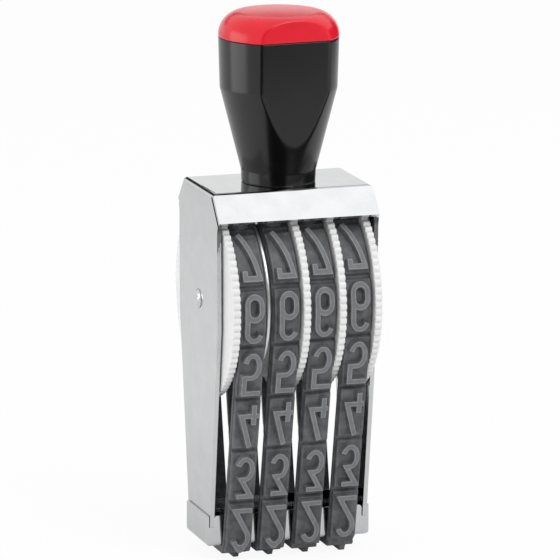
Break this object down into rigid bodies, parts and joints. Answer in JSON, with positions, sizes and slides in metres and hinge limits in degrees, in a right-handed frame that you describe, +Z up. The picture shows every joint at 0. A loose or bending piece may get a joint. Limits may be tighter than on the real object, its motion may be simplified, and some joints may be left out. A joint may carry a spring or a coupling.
{
  "type": "numbering machine",
  "caption": "Hand numbering stamp: endless rubber number bands on toothed wheels in a bent sheet frame with a foot tray, screwed to a round handle with flats and a rounded cap.",
  "frame": {"origin": "on the printing face, in the middle of the foot, where the lowest characters rest on the paper", "axes": "+Z up through the handle, +X along the wheels' axle, -Y the front, where the figures stand upright for the user"},
  "size_m": [0.0574, 0.0652, 0.18],
  "materials": {
    "nickel_sheet": "mirror polished, nickel plated sheet steel",
    "polished_steel": "polished",
    "zinc_steel": "bright zinc plated",
    "black_plastic": "satin moulded",
    "red_plastic": "satin moulded",
    "white_plastic": "smooth moulded",
    "grey_rubber": "matt vulcanised rubber"
  },
  "bodies": {
    "stamp": {"frame": "nickel_sheet", "foot_tray": "nickel_sheet", "handle_body": "black_plastic", "handle_cap": "red_plastic", "handle_screw": "zinc_steel", "handle_washer": "zinc_steel", "handle_nut": "zinc_steel", "axle": "polished_steel", "washer_left": "zinc_steel", "washer_right": "zinc_steel", "divider_disc": "polished_steel", "band_1": "grey_rubber", "band_2": "grey_rubber", "band_3": "grey_rubber", "band_4": "grey_rubber"},
    "wheel_1": {"wheel_1": "white_plastic"},
    "wheel_2": {"wheel_2": "white_plastic"},
    "wheel_3": {"wheel_3": "white_plastic"},
    "wheel_4": {"wheel_4": "white_plastic"}
  },
  "joints": [
    {"name": "wheel_1_turn", "type": "hinge", "parent": "stamp", "child": "wheel_1", "pos_m": [0, 0, 0.0859], "axis": [1, 0, 0], "continuous": true},
    {"name": "wheel_2_turn", "type": "hinge", "parent": "stamp", "child": "wheel_2", "pos_m": [0, 0, 0.0859], "axis": [1, 0, 0], "continuous": true},
    {"name": "wheel_3_turn", "type": "hinge", "parent": "stamp", "child": "wheel_3", "pos_m": [0, 0, 0.0859], "axis": [1, 0, 0], "continuous": true},
    {"name": "wheel_4_turn", "type": "hinge", "parent": "stamp", "child": "wheel_4", "pos_m": [0, 0, 0.0859], "axis": [1, 0, 0], "continuous": true}
  ]
}
